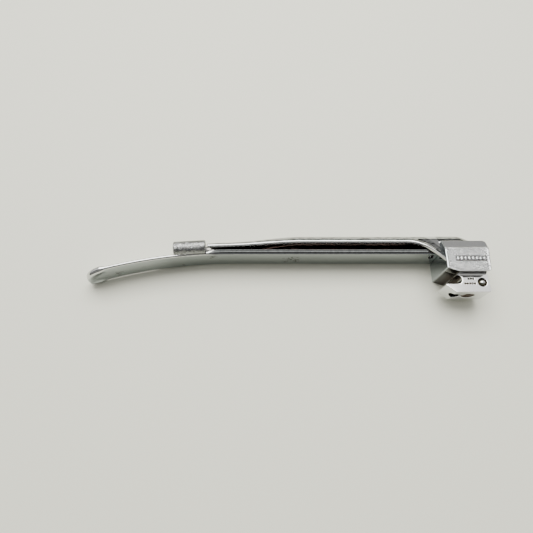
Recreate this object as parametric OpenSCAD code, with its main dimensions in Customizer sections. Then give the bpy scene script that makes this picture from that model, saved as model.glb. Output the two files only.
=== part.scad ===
// Straight laryngoscope blade with a hook-on fitting and a screw-in lamp, lying on its side.
// Origin: centre of the hook's pin seat, halfway through the fitting.
// +X runs along the blade to its heel, +Y away from the handle, +Z out of the user's right side.

/* [Blade] */
// Distance from the hook seat to the tip
reach = 140.5; // [130:0.1:150]
// Height of the tongue's handle-side face above the hook seat
face_level = 11; // [10.6:0.1:11.6]
// Thickness of the formed sheet
sheet_t = 1.3; // [1:0.05:1.5]
// Place where the tongue starts to curve, measured from the hook seat
bend_start = 83.6; // [78:0.2:90]
// Radius of the tongue's curve
bend_r = 190; // [160:5:220]
// Half of the blade's width
half_width = 5.8; // [5.4:0.1:6]
// Height of the channel's crest above the tongue's face
crest_h = 9.2; // [8.6:0.05:9.6]
// Thickness of the bead at the tip
bead_t = 2.5; // [1.6:0.1:3]
// Thickness of the lip along the tongue's open edge
lip_t = 1.8; // [1.3:0.05:2]
// Half of the width of the small port in the tongue, in front of the heel
port_r = 1.05; // [0.6:0.05:1.4]

/* [Heel block] */
// Length of the block along the blade
block_l = 16.5; // [16:0.1:17]
// Thickness of the block
block_t = 17; // [16.4:0.2:18]
// Thickness of the hook under the block
hook_t = 9.5; // [9:0.1:10]
// Radius of the hook's pin seat
seat_r = 1.7; // [1.6:0.05:1.8]
// Depth of the sunk panel on each side of the block
panel_depth = 0.3; // [0.2:0.05:0.4]

/* [Detent] */
// Radius of each detent ball
ball_r = 1.6; // [1.5:0.05:1.6]
// How far each ball stands out of the hook's side
ball_proud = 0.45; // [0.3:0.05:0.5]
// Thickness of the spring's wire
spring_wire = 0.36; // [0.3:0.02:0.4]
// Number of turns in the spring
spring_turns = 5; // [4:1:6]

/* [Lamp] */
// Outer radius of the lamp ferrule
ferrule_r = 2.8; // [2.75:0.05:2.9]
// Length of the lamp ferrule
ferrule_l = 12.3; // [12.1:0.1:12.5]
// Outer radius of the lamp's screw shell
shell_r = 2.12; // [2:0.02:2.14]

/* [Wiring] */
// Outer radius of the conduit tube
conduit_r = 0.8; // [0.7:0.02:0.8]
// Radius of the conductor's insulation
wire_r = 0.5; // [0.4:0.05:0.5]
// Radius of the conductor's core
core_r = 0.25; // [0.15:0.05:0.3]

/* [Hidden] */
$fn = 48;
eps = 0.01;
gap = 0.02; // air left between two close-fitting pieces of one body

// Heel block, from the hook seat
block_front = -4.5;
block_rear = block_front + block_l;
rear_lean = 0.7; // the block's rear face leans back towards its top
block_bottom = 2;
block_top = 15.1;
block_z = block_t / 2;
shoulder_z = 3.15; // inner wall of the near shoulder, beside the tongue
bevel_z = 6.2;
bevel_y = 10.8;
hook_z = hook_t / 2;
hook_rear = 11.8;
hook_bottom = -4.9;
pin_x = 0.15; // locking pin in the block's top
pin_z = 5;

// Channel: a far wall, an elliptical roof and a free edge on the open side
mid_z = half_width - block_z; // centre line of the blade's width
half_t = sheet_t / 2;
corner_r = half_t + 0.15; // centre-line radius where the tongue turns up into the far wall
low = half_t + corner_r; // where that turn ends
roof_a = half_width - half_t;
roof_y = 3.6;
roof_b = crest_h - half_t - roof_y;
tip_x = -reach;
bend_x = -bend_start;

// Lamp seat: its axis follows the tongue's curve
lamp_x = -100.5;
lamp_y = 13.55;
lamp_z = 2.6;
lamp_tilt = 3.5;
socket_r = 2.2;
socket_depth = 9.6;
wire_drop = 0.5; // the wire leaves the ferrule off its axis, towards the channel
wire_shift = 1.5;

// Wiring route in and above the block
corner_y = 13.2; // conduit axis in the corner of the channel
corner_z = -6.3;
well_x = 4.9; // contact well and the bores above it
well_r = 2.3;
well_top = -3.1;
cross_y = 6; // height of the drilled cross passage
bore_r = 0.8;

// Detent, through the hook
ball_x = 9;
ball_y = -1.1;
ball_z = hook_z + ball_proud - ball_r;

// ---------- shapes shared by several pieces ----------

function smooth(v) = let (c = min(1, max(0, v))) c * c * (3 - 2 * c);
function face_drop(x) = x >= bend_x ? 0 : bend_r - sqrt(pow(bend_r, 2) - pow(bend_x - x, 2));
function face_y(x) = face_level - face_drop(x);
// Unit normal of the tongue's face, towards the channel
function face_normal(x) = x >= bend_x ? [0, 1]
    : [(x - bend_x) / bend_r, sqrt(1 - pow((x - bend_x) / bend_r, 2))];

// One closed skin over a list of equal rings; cap lists the faces that close a ring
module skin(rings, cap = []) {
    n = len(rings[0]);
    last = (len(rings) - 1) * n;
    ends = cap == [] ? [[for (i = [0:n - 1]) i]] : cap;
    sides = [for (r = [0:len(rings) - 2], i = [0:n - 1], half = [0:1])
        let (a = r * n + i, b = r * n + (i + 1) % n, c = a + n, d = b + n)
        half == 0 ? [a, b, d] : [a, d, c]];
    polyhedron(
        points = [for (r = rings, p = r) p],
        faces = concat([for (f = ends) [for (i = [len(f) - 1:-1:0]) f[i]]], sides,
            [for (f = ends) [for (i = f) last + i]]),
        convexity = 8
    );
}

// A tube or a wire swept along a route of points, mitred at each bend
module sweep(route, r_out, r_in = 0, sides = 16) {
    n = len(route);
    runs = [for (i = [0:n - 2]) (route[i + 1] - route[i]) / norm(route[i + 1] - route[i])];
    function across(i) = let (a = runs[max(0, i - 1)], b = runs[min(n - 2, i)], s = a + b) s / norm(s);
    // A ring's plane halves the bend, and its points lie on the run's own cylinder
    function ring(i, r) = let (d = runs[max(0, i - 1)], m = across(i),
        u = cross(d, abs(d.z) < 0.9 ? [0, 0, 1] : [1, 0, 0]), e = u / norm(u), g = cross(d, e))
        [for (k = [0:sides - 1]) let (a = -360 * k / sides, p = r * (cos(a) * e + sin(a) * g))
            route[i] + p - d * (p * m) / (d * m)];
    outer = [for (i = [0:n - 1]) ring(i, r_out)];
    if (r_in == 0) skin(outer);
    else difference() {
        skin(outer);
        skin([for (i = [0:n - 1]) [for (p = ring(i, r_in)) p + (i == 0 ? -runs[0] : i == n - 1 ? runs[n - 2]
            : [0, 0, 0])]]);
    }
}

// Everything in the lamp seat is turned round its axis: u is the depth from the ferrule's mouth
module lamp_axis() {
    translate([lamp_x, lamp_y, lamp_z]) rotate([0, 0, lamp_tilt])
        translate([-ferrule_l / 2, 0, 0]) rotate([0, 90, 0]) children();
}
module lamp_tube(r_out, r_in, u0, u1) {
    lamp_axis() translate([0, 0, u0]) difference() {
        cylinder(r = r_out, h = u1 - u0);
        if (r_in > 0) translate([0, 0, -1]) cylinder(r = r_in, h = u1 - u0 + 2);
    }
}
function lamp_point(u, drop = 0, shift = 0) = [
    lamp_x + (u - ferrule_l / 2) * cos(lamp_tilt) + drop * sin(lamp_tilt),
    lamp_y + (u - ferrule_l / 2) * sin(lamp_tilt) - drop * cos(lamp_tilt), lamp_z - shift];
function wire_point(u) = lamp_point(u, wire_drop, wire_shift);

// ---------- blade ----------
// The sheet is one strip, swept from the tip to the heel. A place on the strip's centre line is q:
// 0 to 1 across the tongue, to 2 round the corner, to 3 up the far wall, to 4 over the roof, to 5 down
// the fairing on the open side. Each cross-section stops at its own q.

tip_z = -5; // the foremost point of the tip is towards the far side
near_round = 8; // length of the tip's rounding on each side of that point
far_round = 4;
bead_run = 3.5; // width over which the bead fades into the tongue
wall_front = -116;
wall_rise = -108; // the corner is complete here
taper_front = -94.15; // the roof starts here, behind the ferrule
crest_front = -56.5;
lip_front = -91;
lip_q = 0.12; // width of the lip, as a share of the tongue
sweep_start = -17;
crest_end = 3.5;
slope_end = 10;
heel_end = 11;
free_a = 24.5; // where the roof's arc ends at its free edge
drop_y = 9.8; // the fairing runs on from there in a straight line
drop_z = 5.4;
flare = 0.5; // how far the roof widens towards the block
rest_q = 4.087; // the roof's edge lies on the near shoulder here
rest_h = 4.8;

function share(x, from, to) = min(1, max(0, (x - from) / (to - from)));
function round_share(x, size) = let (v = 1 - share(x, tip_x, tip_x + size)) sqrt(1 - v * v);
function tip_spread(x, z) = tip_z + (z - tip_z) * round_share(x, z > tip_z ? near_round : far_round);
// Distance in from the tip's outline
function inset(x, z) = let (size = z > tip_z ? near_round : far_round,
    side = abs(z - tip_z) / (z > tip_z ? mid_z + roof_a - tip_z : tip_z - mid_z + roof_a))
    size * (1 - norm([1 - share(x, tip_x, tip_x + size), side]));
// Half of the sheet's thickness at a place on the strip
function strip_r(x, q, z) = let (e = x - tip_x, bead_r = bead_t / 2,
    fade = 1 - smooth((e - (z > tip_z ? near_round - 2 : far_round)) / 3),
    bead = fade * (1 - smooth(inset(x, z) / bead_run)),
    r = half_t + (bead_r - half_t) * bead + (lip_t - sheet_t) / 2 * lip_share(x, q))
    min(r, 0.25 + bead_r * round_share(x, bead_r));
function lip_share(x, q) = q > lip_q ? 0 : share(x, taper_front, lip_front) * (1 - smooth(q / lip_q));
function wall_share(x) = x < taper_front ? 0.3 + 0.31 * smooth(share(x, wall_rise, taper_front))
    : 0.61 + 0.39 * smooth(share(x, taper_front + 6.5, crest_front));
function strip_end(x) =
    x < wall_rise ? 1 + share(x, wall_front, wall_rise)
    : x < taper_front ? 2 + 1.25 * share(x, wall_rise, taper_front)
    : x < sweep_start ? 3.25 + 0.75 * smooth(share(x, taper_front, taper_front + 0.5))
    : x < block_front - 0.05 ? 4 + pow(share(x, sweep_start, block_front - 0.07), 2.5) : rest_q;
function near_a(x) = roof_a + flare * pow(share(x, sweep_start, block_front), 2);
// The roof comes down to the height of the block's top behind the crest
function settle(x, h) = h < rest_h ? h
    : rest_h + (h - rest_h) * (1 - 0.9 * smooth(share(x, crest_end, slope_end)));
function roof_turn(q) = free_a + (180 - free_a) * (4 - min(q, 4));
function strip_point(x, q) = let (turn = 90 * (q - 1), a = roof_turn(q), over = max(0, q - 4))
    q < 1 ? [mid_z + roof_a - q * (2 * roof_a - corner_r), half_t + (lip_t - sheet_t) / 2 * lip_share(x, q)]
    : q < 2 ? [mid_z - roof_a + corner_r * (1 - sin(turn)), half_t + corner_r * (1 - cos(turn))]
    : let (h = q < 3 ? low + (q - 2) * (roof_y - low) : roof_y + roof_b * sin(a) - over * drop_y,
        z = q < 3 ? -roof_a : (a > 90 ? roof_a : near_a(x)) * cos(a) + over * drop_z)
        [mid_z + z, settle(x, low + (h - low) * wall_share(x))];
function strip_normal(x, q) = let (turn = 90 * (q - 1), a = roof_turn(q))
    q < 1 ? [0, -1] : q < 2 ? [-sin(turn), -cos(turn)] : q < 3 ? [-1, 0]
    : let (v = [cos(a) / (a > 90 ? roof_a : near_a(x)), sin(a) / roof_b]) v / norm(v);
// A point of the sheet's surface: out is its share of the half thickness along the outward normal,
// and side is the same share back along the strip
function strip_skin(x, q, out, side) = let (p = strip_point(x, q), n = strip_normal(x, q),
    z = tip_spread(x, p[0]), r = strip_r(x, q, z), h = p[1] + r * (n[1] * out - n[0] * side),
    up = face_normal(x))
    [x + h * up.x, face_y(x) + h * up.y, z + r * (n[0] * out + n[1] * side)];
strip_steps = 30;
edge_turns = [30:30:150];
// The tongue's open edge is round near the tip; along the lip it is square, and leans over the channel
lip_lean = 1.08;
function edge_place(x, a) = let (k = share(x, taper_front, lip_front), c = cos(a))
    [c * (1 - k) + k * sign(c) * sqrt(abs(c)),
        -sin(a) * (1 - k) - k * lip_lean * (0.5 - c / 2) * sqrt(sin(a))];
function strip_ring(x) = let (end = strip_end(x)) concat(
    [for (i = [0:strip_steps]) strip_skin(x, end * i / strip_steps, -1, 0)],
    [for (a = edge_turns) strip_skin(x, end, -cos(a), sin(a))],
    [for (i = [strip_steps:-1:0]) strip_skin(x, end * i / strip_steps, 1, 0)],
    [for (a = edge_turns) let (e = edge_place(x, a)) strip_skin(x, 0, e[0], e[1])]);
// A cross-section is closed by the quads between its two sides and by its two round ends
strip_cap = let (last_in = strip_steps, first_out = strip_steps + 6, far = 2 * strip_steps + 6)
    concat([for (i = [0:strip_steps - 1]) [i, i + 1, far - i - 1, far - i]],
        [[for (i = [last_in:first_out]) i]], [concat([for (i = [far:far + 5]) i], [0])]);
strip_stations = concat([for (a = [10:10:80]) tip_x + near_round * (1 - cos(a))],
    [for (x = [tip_x + near_round:3:wall_front]) x], [for (x = [wall_front + 2:2:wall_rise]) x],
    [for (x = [wall_rise + 2.5:2.5:taper_front - 1]) x], [for (e = [0, 0.25, 0.5, 1.5]) taper_front + e],
    [for (x = [lip_front:3.5:crest_front]) x], [crest_front],
    [for (x = [sweep_start:1.15:block_front - 1]) x],
    [block_front - 0.07, block_front - gap], [for (x = [crest_end:1:slope_end]) x], [slope_end, heel_end]);

module blade_channel() {
    notch_l = ferrule_l + 0.4;
    color("silver") difference() {
        skin([for (x = strip_stations) strip_ring(x)], strip_cap);
        // Flat for the ferrule on the tongue's open edge
        lamp_axis() translate([-4, -ferrule_r - gap, -0.2]) cube([6.9, 2.2, notch_l]);
        // Port through the tongue, in front of the block
        translate([-6.75, face_level - 2, 0]) hull() for (z = [-1.1, 0.7])
            translate([0, 0, z]) rotate([-90, 0, 0]) cylinder(r = port_r, h = sheet_t + 3);
        // Way for the conductor down into the block
        translate([well_x, face_level - 1, corner_z]) rotate([-90, 0, 0])
            cylinder(r = bore_r, h = sheet_t + 1.5);
    }
}

// ---------- heel block ----------

module block_side() {
    round_r = 1.2;
    offset(r = round_r) offset(delta = -round_r) polygon([[block_front, 3.4], [-0.6, block_bottom],
        [block_rear - rear_lean, block_bottom], [block_rear, block_top], [block_front, block_top]]);
    // The front corners stay sharp
    polygon([[block_front, 3.4], [-0.6, block_bottom], [5, block_bottom], [5, block_top],
        [block_front, block_top]]);
}
module block_section() {
    polygon([[-block_z, 0], [block_z, 0], [block_z, bevel_y], [bevel_z, block_top],
        [shoulder_z, block_top], [shoulder_z, face_level - gap], [-block_z, face_level - gap]]);
}
module hook_side() {
    difference() {
        polygon([[0, block_bottom + 1], [0, -seat_r], [-4.3, -seat_r], [-4.5, -2.1], [-0.9, hook_bottom],
            [hook_rear - 0.6, hook_bottom], [hook_rear, hook_bottom + 0.6], [hook_rear - 0.5, block_bottom],
            [block_rear - 1, block_bottom + 1]]);
        circle(r = seat_r);
    }
}
module panel_outline(top) {
    polygon([[-3.9, top], [-3.9, 3.85], [-0.45, 2.6], [10.7, 2.6], [11.1, top]]);
}
// Plain raised studs in the sunk panel
module panel_studs() {
    for (i = [0:7]) translate([-0.2 + 1.4 * i, 7.1])
        polygon([[0.55, 0], [0, 0.85], [-0.55, 0], [0, -0.85]]);
}
// Plain punched dots on the hook's near side
module punch_dots() {
    depth = 0.2;
    for (p = [[4.1, 0.3], [4.95, 0.3], [5.8, 0.3], [2.6, -1.6], [3.5, -1.6], [4.4, -1.6], [5.3, -1.6],
        [6.2, -1.6]]) translate([p[0], p[1], hook_z - depth]) cylinder(r = 0.36, h = 1, $fn = 12);
}
module ball_bore() {
    neck_r = ball_r - 0.15;
    for (side = [0, 1]) mirror([0, 0, side]) {
        translate([0, 0, -eps]) cylinder(r = ball_r + 0.06, h = hook_z - 0.55 + eps);
        translate([0, 0, hook_z - 0.55 - eps]) cylinder(r1 = ball_r + 0.06, r2 = neck_r, h = 0.1 + eps);
        translate([0, 0, hook_z - 0.46]) cylinder(r = neck_r, h = 0.12);
        translate([0, 0, hook_z - 0.35]) cylinder(r1 = neck_r, r2 = ball_r + 0.15, h = 0.36);
    }
}
module heel_block() {
    pin_depth = 3;
    relief_x = -0.2;
    color("lightgray") difference() {
        union() {
            intersection() {
                translate([0, 0, -block_z]) linear_extrude(block_t) block_side();
                translate([block_rear + 1, 0, 0]) rotate([0, -90, 0])
                    linear_extrude(block_l + 2) block_section();
            }
            translate([0, 0, -hook_z]) linear_extrude(hook_t) hook_side();
        }
        for (side = [0, 1]) mirror([0, 0, side]) translate([0, 0, block_z - panel_depth])
            linear_extrude(1) difference() {
                panel_outline(side == 0 ? bevel_y + 1 : 9.9);
                panel_studs();
            }
        punch_dots();
        translate([ball_x, ball_y, 0]) ball_bore();
        // Contact well, the shallow relief in front of it and the neck between them
        translate([well_x, hook_bottom - 1, 0]) rotate([-90, 0, 0])
            cylinder(r = well_r, h = well_top - hook_bottom + 1);
        translate([relief_x, hook_bottom - 1, 0]) rotate([-90, 0, 0]) cylinder(r = 1.9, h = 2.6);
        translate([relief_x, hook_bottom - 1, -0.7]) cube([well_x - relief_x, 1.5, 1.4]);
        // Conductor's bores: up from the well, across to the far side, up to the tongue
        translate([well_x, well_top - 1, 0]) rotate([-90, 0, 0])
            cylinder(r = bore_r, h = cross_y - well_top + 1);
        translate([well_x, cross_y, -block_z - 1]) cylinder(r = bore_r, h = block_z + 2);
        translate([well_x, cross_y, corner_z]) rotate([-90, 0, 0]) cylinder(r = bore_r, h = 7);
        translate([pin_x, block_top - pin_depth, pin_z]) rotate([-90, 0, 0])
            cylinder(r = 0.5 + gap, h = pin_depth + 1);
    }
}
module heel_pin() {
    color("gray") translate([pin_x, block_top - 2.95, pin_z]) rotate([-90, 0, 0])
        cylinder(r = 0.5, h = 2.9);
}
module passage_plug() {
    color("gray") translate([well_x, cross_y, -block_z]) cylinder(r = bore_r - gap, h = 1.6);
}

// ---------- contact in the hook's underside ----------

module contact_insulator() {
    color("saddlebrown") translate([well_x, hook_bottom + 0.35, 0]) rotate([-90, 0, 0]) difference() {
        cylinder(r = well_r - gap, h = well_top - hook_bottom - 0.35 - gap);
        translate([0, 0, -1]) cylinder(r = 1.25, h = 5);
    }
}
module contact_button() {
    color("goldenrod") translate([well_x, hook_bottom, 0]) rotate([-90, 0, 0]) {
        translate([0, 0, 0.2]) cylinder(r1 = 0.85, r2 = 1.2, h = 0.35);
        translate([0, 0, 0.55]) cylinder(r = 1.2, h = well_top - hook_bottom - 0.6);
    }
}

// ---------- detent ----------

module detent_ball_right() {
    color("white") translate([ball_x, ball_y, ball_z]) sphere(r = ball_r);
}
module detent_ball_left() {
    color("white") translate([ball_x, ball_y, -ball_z]) sphere(r = ball_r);
}
module detent_spring() {
    wire = spring_wire / 2;
    coil_r = 1.05;
    half_l = ball_z - sqrt(pow(ball_r, 2) - pow(coil_r, 2)) - wire - 0.05;
    steps = 14 * spring_turns;
    color("gray") translate([ball_x, ball_y, 0]) skin([for (i = [0:steps])
        let (a = 360 * spring_turns * i / steps, h = half_l * (2 * i / steps - 1))
        [for (b = [0:45:315]) let (r = coil_r + wire * cos(b)) [r * cos(a), r * sin(a), h + wire * sin(b)]]]);
}

// ---------- lamp seat ----------

module lamp_ferrule() {
    round_r = 0.5;
    chamber_end = ferrule_l - 0.6; // small room behind the insulator, where the wire bends
    chamber_r = 1.7;
    color("silver") lamp_axis() difference() {
        rotate_extrude() difference() {
            union() {
                translate([0, round_r]) square([ferrule_r, ferrule_l - 2 * round_r]);
                square([ferrule_r - round_r, ferrule_l]);
                for (u = [round_r, ferrule_l - round_r])
                    translate([ferrule_r - round_r, u]) circle(r = round_r);
            }
            translate([-1, -1]) square([1 + socket_r, socket_depth + 1]);
        }
        translate([wire_shift / 2, -wire_drop / 2, socket_depth - 1])
            cylinder(r = chamber_r, h = chamber_end - socket_depth + 1);
        translate([wire_shift, -wire_drop, chamber_end - 1]) cylinder(r = wire_r + 0.1, h = 3);
    }
}
module ferrule_solder() {
    color("darkgray") lamp_axis() translate([wire_shift, -wire_drop, ferrule_l + gap]) difference() {
        cylinder(r1 = 1.3, r2 = conduit_r + 0.15, h = 0.45);
        translate([0, 0, -1]) cylinder(r = conduit_r + 0.03, h = 4);
    }
}
module socket_insulator() {
    color("saddlebrown") lamp_tube(socket_r - gap, 0.72, 8.8, socket_depth - gap);
}
module socket_contact() {
    color("goldenrod") lamp_tube(0.7, 0, 8.46, socket_depth + 0.3);
}

// ---------- wiring ----------

bend_u = ferrule_l + 1.5; // the conduit turns towards the channel's corner here
conduit_turn = [-80, corner_y, corner_z];
elbow = [well_x, corner_y, corner_z];
conduit_route = [wire_point(ferrule_l + gap), wire_point(bend_u), conduit_turn,
    [well_x - 1.6, corner_y, corner_z]];
wire_route = [lamp_point(socket_depth + 0.35), lamp_point(socket_depth + 0.6), wire_point(ferrule_l - 0.85),
    wire_point(bend_u), conduit_turn, elbow, [well_x, cross_y, corner_z], [well_x, cross_y, 0],
    [well_x, well_top + 0.05, 0]];

module conduit_tube() {
    color("darkgray") sweep(conduit_route, conduit_r, wire_r + 0.1);
}
module conductor_insulation() {
    color("dimgray") sweep(wire_route, wire_r, core_r + 0.03);
}
module conductor_core() {
    color("orange") sweep(wire_route, core_r, sides = 12);
}

// ---------- lamp ----------

lead_r = 0.07; // the lamp's two lead wires
lead_x = 0.26;

module lamp_shell() {
    color("gold") lamp_axis() rotate_extrude() {
        translate([1.72, 4]) square([shell_r - 0.1 - 1.72, 4]);
        for (i = [0:5]) translate([shell_r - 0.11, 4.3 + 0.6 * i]) polygon([[0, -0.2], [0.11, 0], [0, 0.2]]);
    }
}
module lamp_glass() {
    glass_r = 1.6;
    wall = 0.25;
    color("lightcyan", 0.5) lamp_axis() difference() {
        rotate_extrude() difference() {
            union() {
                translate([0, 2.2]) square([glass_r, 3.4]);
                intersection() {
                    translate([0, 2.2]) circle(r = glass_r);
                    square([glass_r, 2.2]);
                }
            }
            translate([-1, 2.2]) square([1 + glass_r - wall, 3.2]);
            intersection() {
                translate([0, 2.2]) circle(r = glass_r - wall);
                translate([-1, 0]) square([glass_r + 1, 2.3]);
            }
        }
        for (side = [-1, 1]) translate([lead_x * side, 0, 5]) cylinder(r = lead_r + gap, h = 1);
    }
}
module lamp_cement() {
    color("tan") lamp_tube(1.7, 0.7, 5.65, 7.3);
}
module lamp_bead() {
    color("lightcyan", 0.5) lamp_tube(0.5, 0, 3.3, 4);
}
module lamp_leads() {
    color("gray") lamp_axis() for (side = [-1, 1]) {
        translate([lead_x * side, 0, 2.05]) cylinder(r = lead_r, h = 1.2);
        translate([lead_x * side, 0, 4.05]) cylinder(r = lead_r, h = 3.2);
    }
}
module lamp_filament() {
    color("orange") lamp_axis() translate([-0.45, 0, 1.9]) rotate([0, 90, 0]) cylinder(r = 0.12, h = 0.9);
}
module lamp_insulator() {
    color("black") lamp_tube(1.7, 0.62, 7.35, 8);
}
module lamp_contact() {
    color("silver") lamp_tube(0.6, 0, 7.4, 8.4);
}

blade_channel();
heel_block();
heel_pin();
passage_plug();
lamp_ferrule();
ferrule_solder();
socket_insulator();
socket_contact();
conduit_tube();
conductor_insulation();
conductor_core();
contact_insulator();
contact_button();
detent_ball_right();
detent_ball_left();
detent_spring();
lamp_shell();
lamp_glass();
lamp_cement();
lamp_bead();
lamp_leads();
lamp_filament();
lamp_insulator();
lamp_contact();
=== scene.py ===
import math

import bmesh
import bpy
from mathutils import Matrix, Vector


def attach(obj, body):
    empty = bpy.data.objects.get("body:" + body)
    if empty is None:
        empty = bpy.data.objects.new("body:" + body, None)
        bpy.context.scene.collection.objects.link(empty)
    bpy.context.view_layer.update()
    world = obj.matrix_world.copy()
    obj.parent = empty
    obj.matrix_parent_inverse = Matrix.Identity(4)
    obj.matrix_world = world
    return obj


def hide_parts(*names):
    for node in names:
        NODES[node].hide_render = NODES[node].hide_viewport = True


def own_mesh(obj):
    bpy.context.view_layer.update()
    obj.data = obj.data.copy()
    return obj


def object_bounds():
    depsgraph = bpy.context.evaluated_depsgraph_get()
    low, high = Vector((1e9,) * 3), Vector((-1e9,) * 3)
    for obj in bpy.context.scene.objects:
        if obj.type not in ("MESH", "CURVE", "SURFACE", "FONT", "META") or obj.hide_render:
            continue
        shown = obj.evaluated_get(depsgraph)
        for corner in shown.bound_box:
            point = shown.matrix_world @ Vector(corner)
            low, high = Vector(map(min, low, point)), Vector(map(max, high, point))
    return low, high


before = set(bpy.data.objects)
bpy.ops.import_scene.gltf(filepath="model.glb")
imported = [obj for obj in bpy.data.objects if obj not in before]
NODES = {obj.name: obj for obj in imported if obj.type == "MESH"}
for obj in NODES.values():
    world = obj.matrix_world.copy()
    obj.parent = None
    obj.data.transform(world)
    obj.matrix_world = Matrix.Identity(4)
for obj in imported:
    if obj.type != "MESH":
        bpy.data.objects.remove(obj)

CAD_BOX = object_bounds()
MM = 0.001


# ---------- camera, floor and light ----------

CAMERA_TILT = 21.0              # degrees from straight above, towards the handle's side
CAMERA_AWAY = 172.6 * MM        # distance from the point that it looks at
LOOK_AT = Vector((-70.9, 6.95, 0.0)) * MM
LENS = 30.19                    # on a 36 mm sensor


def make_camera():
    data = bpy.data.cameras.new("camera")
    data.lens = LENS
    data.sensor_width = 36.0
    data.clip_start = 0.005
    data.clip_end = 20.0
    data.dof.use_dof = False
    camera = bpy.data.objects.new("camera", data)
    tilt = math.radians(CAMERA_TILT)
    back = Vector((0.0, -math.sin(tilt), math.cos(tilt)))
    camera.location = LOOK_AT + back * CAMERA_AWAY
    camera.rotation_euler = (tilt, 0.0, 0.0)
    bpy.context.scene.collection.objects.link(camera)
    bpy.context.scene.camera = camera


def area_light(name, place, aim, size, power, colour=(1, 1, 1)):
    data = bpy.data.lights.new(name, "AREA")
    data.shape = "RECTANGLE"
    data.size, data.size_y = size
    data.energy = power
    data.color = colour
    light = bpy.data.objects.new(name, data)
    light.location = place
    light.rotation_euler = (Vector(aim) - Vector(place)).to_track_quat("-Z", "Y").to_euler()
    bpy.context.scene.collection.objects.link(light)


def make_world():
    """A plain room: a bright ceiling and far side, a dim near side, dark overhead where a camera is held."""
    world = bpy.data.worlds.new("room")
    bpy.context.scene.world = world
    world.use_nodes = True
    tree = world.node_tree
    back = tree.nodes["Background"]
    coord = tree.nodes.new("ShaderNodeTexCoord")
    split = tree.nodes.new("ShaderNodeSeparateXYZ")
    turn = tree.nodes.new("ShaderNodeMath")
    turn.operation = "ARCTAN2"
    place = tree.nodes.new("ShaderNodeMapRange")
    place.inputs["From Min"].default_value = -math.pi / 2
    place.inputs["From Max"].default_value = math.pi / 2
    ramp = tree.nodes.new("ShaderNodeValToRGB")
    tree.links.new(coord.outputs["Generated"], split.inputs[0])
    tree.links.new(split.outputs["Y"], turn.inputs[0])
    tree.links.new(split.outputs["Z"], turn.inputs[1])
    tree.links.new(turn.outputs[0], place.inputs["Value"])
    tree.links.new(place.outputs[0], ramp.inputs[0])
    # Degrees from straight up, positive away from the handle's side, and the brightness there
    room = [(-90, 0.03), (-82, 0.05), (-72, 0.28), (-44, 0.36), (-33, 0.30), (-30, 0.03), (-13, 0.03),
            (-11, 1.05), (45, 1.12), (62, 0.80), (72, 0.47), (80, 0.42), (86, 0.30), (88, 0.04), (90, 0.03)]
    set_stops(ramp, [(0.5 + angle / 180, (v * 1.01, v, v * 0.975)) for angle, v in room])
    tree.links.new(ramp.outputs[0], back.inputs["Color"])
    back.inputs["Strength"].default_value = ROOM_LIGHT


ROOM_LIGHT = 1.05


def make_stage():
    low = CAD_BOX[0].z - 0.05 * MM
    mesh = bpy.data.meshes.new("floor")
    half, far = 0.6, 0.25
    mesh.from_pydata([(-half, -far, low), (half, -far, low), (half, far, low), (-half, far, low)],
                     [], [(0, 1, 2, 3)])
    floor = bpy.data.objects.new("floor", mesh)
    bpy.context.scene.collection.objects.link(floor)
    material = bpy.data.materials.new("floor_paint")
    material.use_nodes = True
    shader = material.node_tree.nodes["Principled BSDF"]
    shader.inputs["Base Color"].default_value = (0.72, 0.725, 0.625, 1)
    shader.inputs["Roughness"].default_value = 0.75
    mesh.materials.append(material)
    area_light("ceiling_panel", (-0.08, 0.27, 0.52), (-0.07, 0, 0), (0.6, 0.4), 7.0, (1.0, 0.99, 0.95))


# ---------- node helpers ----------

def set_stops(ramp, stops):
    elements = ramp.color_ramp.elements
    while len(elements) < len(stops):
        elements.new(0.5)
    for element, (place, colour) in zip(elements, stops):
        element.position = place
        element.color = (*colour, 1.0)


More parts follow.
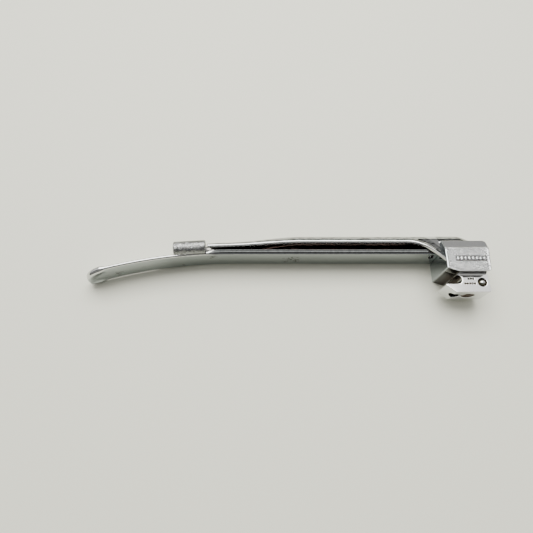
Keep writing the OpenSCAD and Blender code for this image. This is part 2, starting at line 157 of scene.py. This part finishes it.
class Nodes:
    """Short calls for building one material."""

    def __init__(self, name):
        self.material = bpy.data.materials.new(name)
        self.material.use_nodes = True
        self.tree = self.material.node_tree
        self.shader = self.tree.nodes["Principled BSDF"]
        coord = self.tree.nodes.new("ShaderNodeTexCoord")
        scale = self.tree.nodes.new("ShaderNodeVectorMath")
        scale.operation = "SCALE"
        scale.inputs["Scale"].default_value = 1 / MM
        self.tree.links.new(coord.outputs["Object"], scale.inputs[0])
        self.mm = scale.outputs[0]

    def split(self, vector):
        node = self.tree.nodes.new("ShaderNodeSeparateXYZ")
        self.tree.links.new(vector, node.inputs[0])
        return node.outputs[0], node.outputs[1], node.outputs[2]

    def distance(self, centre, keep=(1.0, 1.0, 1.0)):
        """Distance from a place in millimetres, over the axes that are kept."""
        node = self.tree.nodes.new("ShaderNodeVectorMath")
        node.operation = "SUBTRACT"
        self.tree.links.new(self.mm, node.inputs[0])
        node.inputs[1].default_value = centre
        flat = self.tree.nodes.new("ShaderNodeVectorMath")
        flat.operation = "MULTIPLY"
        flat.inputs[1].default_value = keep
        self.tree.links.new(node.outputs[0], flat.inputs[0])
        length = self.tree.nodes.new("ShaderNodeVectorMath")
        length.operation = "LENGTH"
        self.tree.links.new(flat.outputs[0], length.inputs[0])
        return length.outputs["Value"]

    def fade(self, value, full, none):
        """1 up to one value and 0 from the other, or the reverse when full is the larger."""
        node = self.tree.nodes.new("ShaderNodeMapRange")
        node.inputs["From Min"].default_value = none
        node.inputs["From Max"].default_value = full
        self.tree.links.new(value, node.inputs["Value"])
        return node.outputs[0]

    def both(self, *masks):
        value = masks[0]
        for mask in masks[1:]:
            value = self.math("MULTIPLY", value, mask)
        return value

    def either(self, *masks):
        value = masks[0]
        for mask in masks[1:]:
            value = self.math("MAXIMUM", value, mask)
        return value

    def attribute(self, name):
        node = self.tree.nodes.new("ShaderNodeAttribute")
        node.attribute_name = name
        return node.outputs["Fac"]

    def set(self, **values):
        for name, value in values.items():
            self.shader.inputs[name.replace("_", " ")].default_value = value

    def stretch(self, factors):
        node = self.tree.nodes.new("ShaderNodeVectorMath")
        node.operation = "MULTIPLY"
        node.inputs[1].default_value = factors
        self.tree.links.new(self.mm, node.inputs[0])
        return node.outputs[0]

    def noise(self, scale, detail=3.0, rough=0.5, where=None, distort=0.0):
        node = self.tree.nodes.new("ShaderNodeTexNoise")
        node.inputs["Scale"].default_value = scale
        node.inputs["Detail"].default_value = detail
        node.inputs["Roughness"].default_value = rough
        node.inputs["Distortion"].default_value = distort
        self.tree.links.new(where or self.mm, node.inputs["Vector"])
        return node.outputs[0]

    def cells(self, scale, where=None):
        node = self.tree.nodes.new("ShaderNodeTexVoronoi")
        node.inputs["Scale"].default_value = scale
        self.tree.links.new(where or self.mm, node.inputs["Vector"])
        return node.outputs["Distance"]

    def ramp(self, value, stops):
        node = self.tree.nodes.new("ShaderNodeValToRGB")
        set_stops(node, [(place, colour if isinstance(colour, tuple) else (colour,) * 3)
                         for place, colour in stops])
        self.tree.links.new(value, node.inputs[0])
        return node.outputs[0]

    def math(self, operation, a, b):
        node = self.tree.nodes.new("ShaderNodeMath")
        node.operation = operation
        for socket, value in zip(node.inputs, (a, b)):
            if isinstance(value, (int, float)):
                socket.default_value = value
            else:
                self.tree.links.new(value, socket)
        return node.outputs[0]

    def mix(self, factor, a, b):
        node = self.tree.nodes.new("ShaderNodeMix")
        node.data_type = "RGBA"
        for socket, value in zip((node.inputs[0], node.inputs[6], node.inputs[7]), (factor, a, b)):
            if isinstance(value, tuple):
                socket.default_value = (*value, 1.0)
            else:
                self.tree.links.new(value, socket)
        return node.outputs[2]

    def bump(self, height, strength, distance, below=None):
        node = self.tree.nodes.new("ShaderNodeBump")
        node.inputs["Strength"].default_value = strength
        node.inputs["Distance"].default_value = distance * MM
        self.tree.links.new(height, node.inputs["Height"])
        if below:
            self.tree.links.new(below, node.inputs["Normal"])
        return node.outputs[0]

    def wire(self, **sockets):
        for name, value in sockets.items():
            self.tree.links.new(value, self.shader.inputs[name.replace("_", " ")])
        return self.material


def chrome(name, tone=0.78, rough=0.06, wear=1.0, dress=None):
    """Worn bright plate: hairlines, cloudy wipe marks and scattered pits, with local marks from dress."""
    n = Nodes(name)
    clouds = n.noise(0.12, 4.0, 0.6)
    hairs = n.noise(3.0, 6.0, 0.7, n.stretch((0.25, 4.0, 4.0)), 0.4)
    pits = n.ramp(n.cells(0.9), [(0.0, 0.0), (0.05, 0.0), (0.11, 1.0)])
    pit_mask = n.ramp(n.noise(0.35, 2.0), [(0.0, 1.0), (0.56, 1.0), (0.66, 0.0)])
    clean = n.math("MAXIMUM", pits, pit_mask)
    colour = n.mix(clouds, (tone * 0.9, tone * 0.92, tone * 0.93), (tone, tone * 1.0, tone * 0.99))
    gloss = n.math("MULTIPLY_ADD", hairs, 0.10 * wear)
    gloss.node.inputs[2].default_value = rough - 0.02
    ripple = n.bump(n.noise(0.22, 2.0), 0.22 * wear, 0.05)
    normal = n.bump(hairs, 0.08 * wear, 0.01, ripple)
    if dress:
        clean, colour, gloss, normal = dress(n, clean, colour, gloss, normal)
    colour = n.mix(clean, (tone * 0.12, tone * 0.12, tone * 0.11), colour)
    n.set(Metallic=1.0)
    return n.wire(Base_Color=colour, Roughness=gloss, Normal=n.bump(clean, 0.5 * wear, 0.04, normal))


def sheet_marks(n, clean, colour, gloss, normal):
    """Groups of deep pits on the tongue and solder stains by the ferrule, with painted shade on the tongue's
    face, its open edge, its far edge by the tip, its floor side and the channel's inside, and painted
    reflection streaks along the roof's free edge.
    """
    groups = [((-129, 7, -3.8), 3.2), ((-119, 8.5, -2.5), 1.2), ((-104.5, 9.8, -5.6), 1.2),
              ((-61, 11, -3), 4.6), ((-92, 11, 0), 2.5)]
    near = n.either(*[n.fade(n.distance(place), size * 0.5, size) for place, size in groups])
    dents = n.fade(n.noise(1.5, 3.0, 0.6, n.stretch((0.8, 1.0, 1.3))), 0.58, 0.53)
    clean = n.math("MULTIPLY", clean, n.math("SUBTRACT", 1.0, n.both(near, dents)))
    stain = n.both(n.fade(n.distance((-101, 10, 1.5), (0.45, 1.0, 1.0)), 1.0, 4.0),
                   n.fade(n.noise(0.9, 4.0, 0.7), 0.62, 0.45))
    colour = n.mix(stain, colour, (0.30, 0.30, 0.29))
    x, _, z = n.split(n.mm)
    # Painted contact shadow: the sheet darkens towards the floor along its lowest side.
    colour = n.mix(n.fade(z, -8.35, -7.5), colour, (0.16, 0.165, 0.16))
    # Painted shade: the tongue's face gets a darker streaked grey, less dark towards the tip, for the shaded
    # floor that it reflects.
    colour = n.mix(n.attribute("face"), colour, n.mix(n.noise(0.5, 4.0, 0.6, n.stretch((0.15, 1.0, 1.0))),
                   (0.29, 0.32, 0.32), (0.44, 0.475, 0.475)))
    colour = n.mix(n.both(n.attribute("face"), n.fade(x, -116, -108)), colour, (0.53, 0.57, 0.57))
    # Painted shade: the far edge by the tip is made dark, rough and not metal.
    under = n.attribute("under")
    colour = n.mix(under, colour, (0.06, 0.065, 0.065))
    gloss = n.math("MAXIMUM", gloss, n.math("MULTIPLY", under, 0.8))
    n.wire(Metallic=n.math("SUBTRACT", 1.0, under))
    # Painted reflection: dark and grey streaks on the roof along its free edge.
    jagged = n.fade(n.noise(1.1, 4.0, 0.7, n.stretch((0.35, 1.0, 1.0))), 0.60, 0.44)
    colour = n.mix(n.attribute("rim"), colour, n.mix(jagged, (0.40, 0.41, 0.41), (0.08, 0.082, 0.082)))
    # Painted shade: the tongue's open edge from behind the ferrule to the heel is painted a darker grey.
    edge = n.both(n.attribute("edge"), n.fade(x, -90, -95))
    colour = n.mix(edge, colour, n.mix(n.noise(0.7, 3.0), (0.20, 0.21, 0.21), (0.42, 0.44, 0.44)))
    # Painted shade: the channel's inside is painted near black with a brown tint.
    channel_shade = n.mix(n.noise(0.35, 4.0, 0.6), (0.035, 0.03, 0.03), (0.13, 0.085, 0.075))
    colour = n.mix(n.attribute("inside"), colour, channel_shade)
    return clean, colour, gloss, normal


DOTS = [(4.1, 0.3), (4.95, 0.3), (5.8, 0.3),
        (2.6, -1.6), (3.5, -1.6), (4.4, -1.6), (5.3, -1.6), (6.2, -1.6)]


def block_marks(n, clean, colour, gloss, normal):
    """A stippled panel and printed dots, dark brown in the seat, the wells and round the balls, painted shade
    on the front face, under the shoulder and on its slant, and a painted highlight on the hook's near face.
    """
    x, y, z = n.split(n.mm)
    side = n.both(n.fade(z, 8.12, 8.05), n.fade(y, 2.6, 2.45))
    panel = n.both(side, n.fade(z, 8.32, 8.40))
    stipple = n.noise(3.4, 3.0, 0.8)
    colour = n.mix(n.both(side, n.fade(stipple, 0.46, 0.52)), colour, (0.10, 0.105, 0.11))
    colour = n.mix(n.both(side, n.fade(stipple, 0.57, 0.53)), colour, (0.98, 0.99, 0.99))
    row = n.fade(n.distance((0, 7.1, 0), (0, 1, 0)), 1.0, 1.3)
    along = n.both(n.fade(x, -0.9, -1.3), n.fade(x, 10.3, 10.7))
    colour = n.mix(n.both(panel, row, along), colour, (0.15, 0.15, 0.15))
    normal = n.bump(n.both(panel, n.fade(stipple, 0.60, 0.42)), 0.8, 0.08, normal)
    # Painted highlight: the hook's near face is painted near white.
    colour = n.mix(n.both(n.fade(z, 4.70, 4.60), n.fade(y, 2.0, 2.2)), colour,
                   n.mix(stipple, (0.92, 0.92, 0.91), (1.0, 1.0, 0.99)))
    # Painted shade: the block's front face is painted a darker blue grey.
    front = n.both(n.fade(x, -4.36, -4.1), n.fade(y, 2.6, 1.8))
    colour = n.mix(front, colour, (0.47, 0.51, 0.53))
    grime_and_shade = n.noise(1.1, 5.0, 0.7)
    deep = n.fade(z, 4.45, 4.72)
    seat = n.both(n.fade(x, 1.55, 1.85), n.fade(y, 1.8, 2.2), n.fade(y, -1.60, -1.75), deep)
    # Painted shade: the underside below the shoulder is painted near black.
    below = n.both(n.fade(x, -0.6, 0.2), n.fade(y, 3.2, 3.5), n.fade(y, 1.5, 1.2), deep)
    colour = n.mix(below, colour, n.mix(stipple, (0.03, 0.03, 0.028), (0.10, 0.10, 0.095)))
    # Painted shade: the slanted part of that underside is also darkened with the dark brown below.
    slant = n.both(below, n.fade(x, -1.6, -3.2))
    ball = n.both(n.fade(n.distance((9, -1.1, 0), (1, 1, 0)), 1.72, 1.85),
                  n.fade(n.distance((0, 0, 0), (0, 0, 1)), 4.80, 4.95))
    wells = [n.both(n.fade(y, -4.6, -4.85), n.fade(n.distance((middle, 0, 0), (1, 0, 1)), size, size + 0.2))
             for middle, size in ((4.9, 2.28), (-0.2, 1.9))]
    rough = n.math("MULTIPLY_ADD", stipple, 0.3)
    rough.node.inputs[2].default_value = 0.27
    dots = [n.both(n.fade(n.math("MULTIPLY", n.distance((*place, 0), (1, 1, 0)), rough), 0.16, 0.22),
                   n.fade(z, 4.2, 4.0)) for place in DOTS]
    dark = n.either(seat, slant, ball, *wells, *dots)
    colour = n.mix(dark, colour, n.mix(grime_and_shade, (0.008, 0.007, 0.005), (0.06, 0.038, 0.022)))
    return clean, colour, gloss, normal


def ball_marks(n, clean, colour, gloss, normal):
    """Brown round the ball's edge, fading to clean metal in the middle."""
    rim = n.fade(n.distance((9, -1.1, 0), (1, 1, 0)), 1.1, 0.35)
    return clean, n.mix(rim, colour, (0.13, 0.115, 0.06)), gloss, normal


def ferrule_marks(n, clean, colour, gloss, normal):
    """File marks and spilt solder, which break up the reflections, and painted shade on its upper side."""
    lumps = n.noise(0.9, 4.0, 0.65, n.stretch((1.4, 0.8, 0.8)))
    colour = n.mix(n.fade(n.noise(1.6, 3.0, 0.7), 0.62, 0.5), colour, (0.20, 0.21, 0.205))
    y = n.split(n.mm)[1]
    # Painted shade: the ferrule's upper side is painted darker.
    colour = n.mix(n.fade(y, 15.3, 14.5), colour, (0.17, 0.175, 0.175))
    return clean, colour, gloss, n.bump(lumps, 1.0, 0.45, normal)


def plain_metal(name, colour, rough, grain=6.0):
    n = Nodes(name)
    cloud = n.noise(grain, 4.0, 0.6)
    shade = n.mix(cloud, tuple(c * 0.75 for c in colour), colour)
    gloss = n.math("MULTIPLY_ADD", cloud, 0.2)
    gloss.node.inputs[2].default_value = rough - 0.1
    n.set(Metallic=1.0)
    return n.wire(Base_Color=shade, Roughness=gloss, Normal=n.bump(cloud, 0.3, 0.02))


def moulded(name, colour, rough):
    n = Nodes(name)
    grain = n.noise(5.0, 5.0, 0.65)
    shade = n.mix(grain, tuple(c * 0.6 for c in colour), tuple(c * 1.3 for c in colour))
    n.set(Roughness=rough)
    return n.wire(Base_Color=shade, Normal=n.bump(grain, 0.4, 0.03))


def lamp_glass(name):
    n = Nodes(name)
    haze = n.noise(2.0, 3.0)
    n.set(IOR=1.5, Transmission_Weight=1.0)
    gloss = n.math("MULTIPLY", haze, 0.08)
    return n.wire(Base_Color=n.mix(haze, (0.92, 0.94, 0.95), (0.99, 0.99, 1.0)), Roughness=gloss)


# ---------- mesh helpers ----------

def add_piece(name, mesh, body, material, slot, *replaced):
    piece = bpy.data.objects.new(name, mesh)
    bpy.context.scene.collection.objects.link(piece)
    mesh.materials.clear()
    mesh.materials.append(material)
    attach(piece, body)
    if replaced:
        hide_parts(*replaced)
    return piece


def baked(obj):
    """The object's mesh with its modifiers applied."""
    graph = bpy.context.evaluated_depsgraph_get()
    graph.update()
    return bpy.data.meshes.new_from_object(obj.evaluated_get(graph))


def smooth(mesh, angle=35):
    for face in mesh.polygons:
        face.use_smooth = True
    mesh.set_sharp_from_angle(angle=math.radians(angle))


def skin(rings, caps):
    """Quads between equal rings, and the given faces at both ends."""
    size = len(rings[0])
    points = [p for ring in rings for p in ring]
    faces = []
    for r in range(len(rings) - 1):
        for i in range(size):
            a, b = r * size + i, r * size + (i + 1) % size
            faces.append((a, a + size, b + size, b))
    last = (len(rings) - 1) * size
    faces += [tuple(cap) for cap in caps]
    faces += [tuple(last + i for i in reversed(cap)) for cap in caps]
    mesh = bpy.data.meshes.new("skin")
    mesh.from_pydata([tuple(c * MM for c in p) for p in points], [], faces)
    mesh.update()
    tidy = bmesh.new()
    tidy.from_mesh(mesh)
    bmesh.ops.recalc_face_normals(tidy, faces=tidy.faces)
    tidy.to_mesh(mesh)
    tidy.free()
    return mesh


# ---------- blade: one strip of sheet, in millimetres ----------
# A place on the strip's centre line is q: 0 to 1 across the tongue, to 2 round the corner, to 3 up
# the far wall, to 4 over the roof, to 5 down the fairing on the open side.

REACH, FACE, SHEET, LIP = 140.5, 11.0, 1.3, 1.8
BEND_X, BEND_R = -83.6, 190.0
HALF_WIDTH, BLOCK_Z = 5.8, 8.5
CREST, BEAD = 9.2, 2.5
MID_Z = HALF_WIDTH - BLOCK_Z
HALF_T = SHEET / 2
CORNER = HALF_T + 0.15
ROOF_A, ROOF_Y = HALF_WIDTH - HALF_T, 3.6
ROOF_B = CREST - HALF_T - ROOF_Y
LOW = HALF_T + CORNER
TIP_X, TIP_Z, NEAR_ROUND, FAR_ROUND, BEAD_RUN = -REACH, -5.0, 8.0, 4.0, 3.5
WALL_FRONT, WALL_RISE = -116.0, -108.0
TAPER_FRONT, CREST_FRONT = -94.15, -56.5
LIP_FRONT, LIP_Q = -91.0, 0.12
SWEEP, BLOCK_FRONT = -17.0, -4.5
CREST_END, SLOPE_END, HEEL_END = 3.5, 10.0, 11.0
FREE_A, DROP_Y, DROP_Z, FLARE = 24.5, 9.8, 5.4, 0.5
REST_Q, REST_H = 4.087, 4.8
LIP_LEAN = 1.08
RIM_SWELL, RIM_RUN = 0.16, 0.16


def share(x, start, end):
    return min(1.0, max(0.0, (x - start) / (end - start)))


def ease(v):
    v = min(1.0, max(0.0, v))
    return v * v * (3 - 2 * v)


def face_y(x):
    return FACE if x >= BEND_X else FACE - (BEND_R - math.sqrt(BEND_R ** 2 - (BEND_X - x) ** 2))


def face_up(x):
    lean = min(0.0, (x - BEND_X) / BEND_R)
    return lean, math.sqrt(1 - lean * lean)


def round_share(x, size):
    away = 1 - share(x, TIP_X, TIP_X + size)
    return math.sqrt(1 - away * away)


def round_size(z):
    return NEAR_ROUND if z > TIP_Z else FAR_ROUND


def inset(x, z):
    """Distance in from the tip's outline."""
    side = abs(z - TIP_Z) / (MID_Z + ROOF_A - TIP_Z if z > TIP_Z else TIP_Z - MID_Z + ROOF_A)
    return round_size(z) * (1 - math.hypot(1 - share(x, TIP_X, TIP_X + round_size(z)), side))


def lip_share(x, q):
    return 0.0 if q > LIP_Q else share(x, TAPER_FRONT, LIP_FRONT) * (1 - ease(q / LIP_Q))


def rim_swell(x, q):
    """The roof's free edge is rolled a little thicker."""
    along = share(x, TAPER_FRONT, TAPER_FRONT + 3) * (1 - share(x, -8.0, BLOCK_FRONT - 0.5))
    return RIM_SWELL * along * (1 - ease((strip_end(x) - q) / RIM_RUN))


def strip_r(x, q, z):
    away, bead_r = x - TIP_X, BEAD / 2
    fade = 1 - ease((away - (NEAR_ROUND - 2 if z > TIP_Z else FAR_ROUND)) / 3)
    bead = fade * (1 - ease(inset(x, z) / BEAD_RUN))
    r = HALF_T + (bead_r - HALF_T) * bead + (LIP - SHEET) / 2 * lip_share(x, q) + rim_swell(x, q)
    return min(r, 0.25 + bead_r * round_share(x, bead_r))


def wall_share(x):
    if x < TAPER_FRONT:
        return 0.3 + 0.31 * ease(share(x, WALL_RISE, TAPER_FRONT))
    return 0.61 + 0.39 * ease(share(x, TAPER_FRONT + 6.5, CREST_FRONT))


def strip_end(x):
    if x < WALL_RISE:
        return 1 + share(x, WALL_FRONT, WALL_RISE)
    if x < TAPER_FRONT:
        return 2 + 1.25 * share(x, WALL_RISE, TAPER_FRONT)
    if x < SWEEP:
        return 3.25 + 0.75 * ease(share(x, TAPER_FRONT, TAPER_FRONT + 0.5))
    if x < BLOCK_FRONT - 0.05:
        return 4 + share(x, SWEEP, BLOCK_FRONT - 0.07) ** 2.5
    return REST_Q


def strip_place(x, q):
    """Centre-line place and outward normal, both as (z, height above the face)."""
    near = ROOF_A + FLARE * share(x, SWEEP, BLOCK_FRONT) ** 2
    if q < 1:
        high = HALF_T + (LIP - SHEET) / 2 * lip_share(x, q)
        return (MID_Z + ROOF_A - q * (2 * ROOF_A - CORNER), high), (0.0, -1.0)
    if q < 2:
        turn = math.pi / 2 * (q - 1)
        s, c = math.sin(turn), math.cos(turn)
        return (MID_Z - ROOF_A + CORNER * (1 - s), HALF_T + CORNER * (1 - c)), (-s, -c)
    if q < 3:
        z, high, normal = -ROOF_A, LOW + (q - 2) * (ROOF_Y - LOW), (-1.0, 0.0)
    else:
        turn, over = math.radians(FREE_A + (180 - FREE_A) * (4 - min(q, 4))), max(0, q - 4)
        wide = ROOF_A if turn > math.pi / 2 else near
        z, high = wide * math.cos(turn) + over * DROP_Z, ROOF_Y + ROOF_B * math.sin(turn) - over * DROP_Y
        normal = (math.cos(turn) / wide, math.sin(turn) / ROOF_B)
        length = math.hypot(*normal)
        normal = (normal[0] / length, normal[1] / length)
    high = LOW + (high - LOW) * wall_share(x)
    if high > REST_H:
        high = REST_H + (high - REST_H) * (1 - 0.9 * ease(share(x, CREST_END, SLOPE_END)))
    return (MID_Z + z, high), normal


def strip_skin(x, q, out, side):
    """A point of the surface: out and side are shares of the half thickness, along the normal and the
    strip."""
    (z, high), normal = strip_place(x, q)
    z = TIP_Z + (z - TIP_Z) * round_share(x, round_size(z))
    r = strip_r(x, q, z)
    high += r * (normal[1] * out - normal[0] * side)
    up = face_up(x)
    return x + high * up[0], face_y(x) + high * up[1], z + r * (normal[0] * out + normal[1] * side)


STRIP_STEPS = 150
EDGE_TURNS = [math.radians(a) for a in range(15, 180, 15)]


def edge_place(x, a):
    """The tongue's open edge: round near the tip, square and leaning over the channel along the lip."""
    k, c = share(x, TAPER_FRONT, LIP_FRONT), math.cos(a)
    square = math.copysign(math.sqrt(abs(c)), c)
    return (c * (1 - k) + k * square,
            -math.sin(a) * (1 - k) - k * LIP_LEAN * (0.5 - c / 2) * math.sqrt(math.sin(a)))


def strip_ring(x):
    end = strip_end(x)
    steps = [end * i / STRIP_STEPS for i in range(STRIP_STEPS + 1)]
    ring = [strip_skin(x, q, -1, 0) for q in steps]
    ring += [strip_skin(x, end, -math.cos(a), math.sin(a)) for a in EDGE_TURNS]
    ring += [strip_skin(x, q, 1, 0) for q in reversed(steps)]
    ring += [strip_skin(x, 0, *edge_place(x, a)) for a in EDGE_TURNS]
    return ring


def spread(start, end, step):
    count = max(1, round(abs(end - start) / step))
    return [start + (end - start) * i / count for i in range(count)]


def blade_mesh():
    stations = [TIP_X + NEAR_ROUND * (1 - math.cos(math.radians(a))) for a in range(4, 90, 2)]
    for start, end, step in ((TIP_X + NEAR_ROUND, WALL_FRONT, 1.0), (WALL_FRONT, TAPER_FRONT, 0.6),
                             (TAPER_FRONT, LIP_FRONT, 0.15), (LIP_FRONT, CREST_FRONT, 1.2),
                             (CREST_FRONT, SWEEP, 1.5), (SWEEP, BLOCK_FRONT - 0.07, 0.3)):
        stations += spread(start, end, step)
    stations += [BLOCK_FRONT - 0.07, BLOCK_FRONT - 0.02] + spread(BLOCK_FRONT + 0.4, CREST_END, 0.6)
    stations += spread(CREST_END, SLOPE_END, 0.25) + [SLOPE_END, HEEL_END]
    nose = len(EDGE_TURNS)
    far = 2 * STRIP_STEPS + 1 + nose
    caps = [(i, i + 1, far - i - 1, far - i) for i in range(STRIP_STEPS)]
    caps.append(tuple(range(STRIP_STEPS, STRIP_STEPS + nose + 2)))
    caps.append((*range(far, far + nose + 1), 0))
    rings = [strip_ring(x) for x in stations]
    mesh = skin(rings, caps)
    # Masks for the material: the channel's inside, the tongue's open edge, its face, its far edge by the
    # tip, and the strip of roof along its free edge
    names = ("inside", "edge", "face", "under", "rim")
    for name in names:
        mesh.attributes.new(name, "FLOAT", "POINT")
    inside, edge, face, under, rim = [mesh.attributes[name].data for name in names]
    for r, x in enumerate(stations):
        first = r * len(rings[0])
        for i in range(STRIP_STEPS + 1):
            q = strip_end(x) * i / STRIP_STEPS
            inside[first + i].value = share(q, 0.35, 1.1) * share(x, TAPER_FRONT - 6, TAPER_FRONT)
            edge[first + i].value = 1 - share(q, 0.0, 0.04)
            face[first + far - 1 - i].value = share(q, 0.0, 0.03) * (1 - share(q, 1.9, 2.0))
            on_roof = share(x, TAPER_FRONT, TAPER_FRONT + 3) * (q > 3)
            rim[first + far - 1 - i].value = on_roof * (1 - share(strip_end(x) - q, 0.45, 0.6))
            under[first + far - 1 - i].value = (x < WALL_FRONT) * share(q, 0.97, 1.0)
        for i in range(STRIP_STEPS + 1, STRIP_STEPS + 1 + nose):
            under[first + i].value = 1 - share(x, WALL_FRONT, WALL_RISE)
        for i in range(far, len(rings[0])):
            edge[first + i].value = 1.0
    return mesh


def cutter(name, r, place, direction, length, widen=1.0):
    mesh = bpy.data.meshes.new(name)
    shape = bmesh.new()
    bmesh.ops.create_cone(shape, cap_ends=True, segments=48, radius1=r * MM, radius2=r * MM,
                          depth=length * MM)
    shape.to_mesh(mesh)
    shape.free()
    tool = bpy.data.objects.new(name, mesh)
    tool.matrix_world = (Matrix.Translation(Vector(place) * MM) @ Matrix.Diagonal((1, 1, widen, 1))
                         @ Vector(direction).to_track_quat("Z", "Y").to_matrix().to_4x4())
    bpy.context.scene.collection.objects.link(tool)
    return tool


def notch():
    """The flat that the ferrule sits on, at the tongue's open edge."""
    mesh = bpy.data.meshes.new("notch")
    shape = bmesh.new()
    bmesh.ops.create_cube(shape, size=1.0)
    shape.to_mesh(mesh)
    shape.free()
    tool = bpy.data.objects.new("notch", mesh)
    tool.matrix_world = (Matrix.Translation(Vector(FERRULE) * MM)
                         @ Matrix.Rotation(math.radians(FERRULE_TILT), 4, "Z")
                         @ Matrix.Translation(Vector((0, 1.1 - FERRULE_R - 0.02, 0.55)) * MM)
                         @ Matrix.Diagonal((12.7 * MM, 2.2 * MM, 6.9 * MM, 1)))
    bpy.context.scene.collection.objects.link(tool)
    return tool


def cut(mesh, tools):
    """The mesh with the tools' shapes taken out of it."""
    work = bpy.data.objects.new("work", mesh)
    bpy.context.scene.collection.objects.link(work)
    for tool in tools:
        step = work.modifiers.new("cut", "BOOLEAN")
        step.operation = "DIFFERENCE"
        step.object = tool
        step.solver = "EXACT"
    result = baked(work)
    for spare in [work, *tools]:
        bpy.data.objects.remove(spare)
    return result


PORT = (-6.75, 11.6, -0.2)
FERRULE, FERRULE_TILT, FERRULE_R = (-100.5, 13.55, 2.6), 3.5, 2.8
CONDUCTOR_WAY = (4.9, 11.6, -6.3)


def make_blade():
    tools = [cutter("port_tool", 1.05, PORT, (0, 1, 0), 4.0, 1.85),
             cutter("way_tool", 0.8, CONDUCTOR_WAY, (0, 1, 0), 3.0), notch()]
    mesh = cut(blade_mesh(), tools)
    smooth(mesh, 40)
    add_piece("blade_sheet", mesh, "blade", chrome("chrome_sheet", 0.62, dress=sheet_marks),
              "chrome_sheet", "blade_channel")


def make_block():
    """The CAD block with its edges worn round: a fine remesh, then a light smoothing."""
    mesh = NODES["heel_block"].data.copy()
    mesh.transform(Matrix.Scale(1 / MM, 4))
    work = bpy.data.objects.new("work", mesh)
    bpy.context.scene.collection.objects.link(work)
    remesh = work.modifiers.new("remesh", "REMESH")
    remesh.mode = "VOXEL"
    remesh.voxel_size = 0.11
    relax = work.modifiers.new("relax", "SMOOTH")
    relax.factor = 0.5
    relax.iterations = 5
    result = baked(work)
    bpy.data.objects.remove(work)
    result.transform(Matrix.Scale(MM, 4))
    smooth(result, 180)
    add_piece("block_body", result, "blade", chrome("chrome_block", wear=1.3, dress=block_marks),
              "chrome_block", "heel_block")


def make_spring(steel):
    """The spring in two halves, cut at its middle, both carried by the blade."""
    for name, joint, side in (("spring_near", "ball_right_press", 1),
                              ("spring_far", "ball_left_press", -1)):
        shape = bmesh.new()
        shape.from_mesh(NODES["detent_spring"].data)
        parts = shape.verts[:] + shape.edges[:] + shape.faces[:]
        split = bmesh.ops.bisect_plane(shape, geom=parts, plane_co=(0, 0, 0), plane_no=(0, 0, side),
                                       clear_inner=True)
        rim = [part for part in split["geom_cut"] if isinstance(part, bmesh.types.BMEdge)]
        bmesh.ops.holes_fill(shape, edges=rim)
        bmesh.ops.recalc_face_normals(shape, faces=shape.faces)
        mesh = bpy.data.meshes.new(name)
        shape.to_mesh(mesh)
        shape.free()
        smooth(mesh)
        piece = add_piece(name, mesh, "blade", steel, "steel", "detent_spring")
        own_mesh(piece)


def dress_nodes():
    """Every CAD node that shows as it is gets its own detailed material."""
    steel = plain_metal("steel", (0.55, 0.55, 0.56), 0.3)
    make_spring(steel)
    brass = plain_metal("brass", (0.72, 0.52, 0.24), 0.35)
    old_brass = plain_metal("old_brass", (0.07, 0.045, 0.025), 0.5)
    solder = plain_metal("solder", (0.5, 0.5, 0.5), 0.45, 3.0)
    phenolic = moulded("phenolic", (0.06, 0.03, 0.018), 0.5)
    glass = lamp_glass("lamp_glass")
    tungsten = plain_metal("tungsten", (0.3, 0.3, 0.31), 0.4, 12.0)
    looks = {
        "lamp_ferrule": chrome("chrome_ferrule", 0.32, 0.12, 1.5, ferrule_marks), "ferrule_solder": solder,
        "heel_pin": steel, "passage_plug": steel,
        "detent_ball_right": chrome("ball_steel", 0.6, 0.16, 0.6, ball_marks),
        "socket_insulator": phenolic, "contact_insulator": phenolic, "lamp_insulator": phenolic,
        "socket_contact": brass, "contact_button": old_brass, "lamp_shell": brass,
        "conduit_tube": plain_metal("nickel_tube", (0.55, 0.54, 0.5), 0.25),
        "conductor_insulation": moulded("wire_sleeve", (0.05, 0.05, 0.05), 0.6),
        "conductor_core": plain_metal("copper", (0.8, 0.42, 0.22), 0.3),
        "lamp_glass": glass, "lamp_bead": glass, "lamp_leads": tungsten, "lamp_filament": tungsten,
        "lamp_cement": moulded("cement", (0.5, 0.4, 0.28), 0.8), "lamp_contact": solder,
    }
    looks["detent_ball_left"] = looks["detent_ball_right"]
    for name, material in looks.items():
        mesh = NODES[name].data
        mesh.materials.clear()
        mesh.materials.append(material)


make_camera()
make_world()
make_stage()
make_blade()
make_block()
dress_nodes()
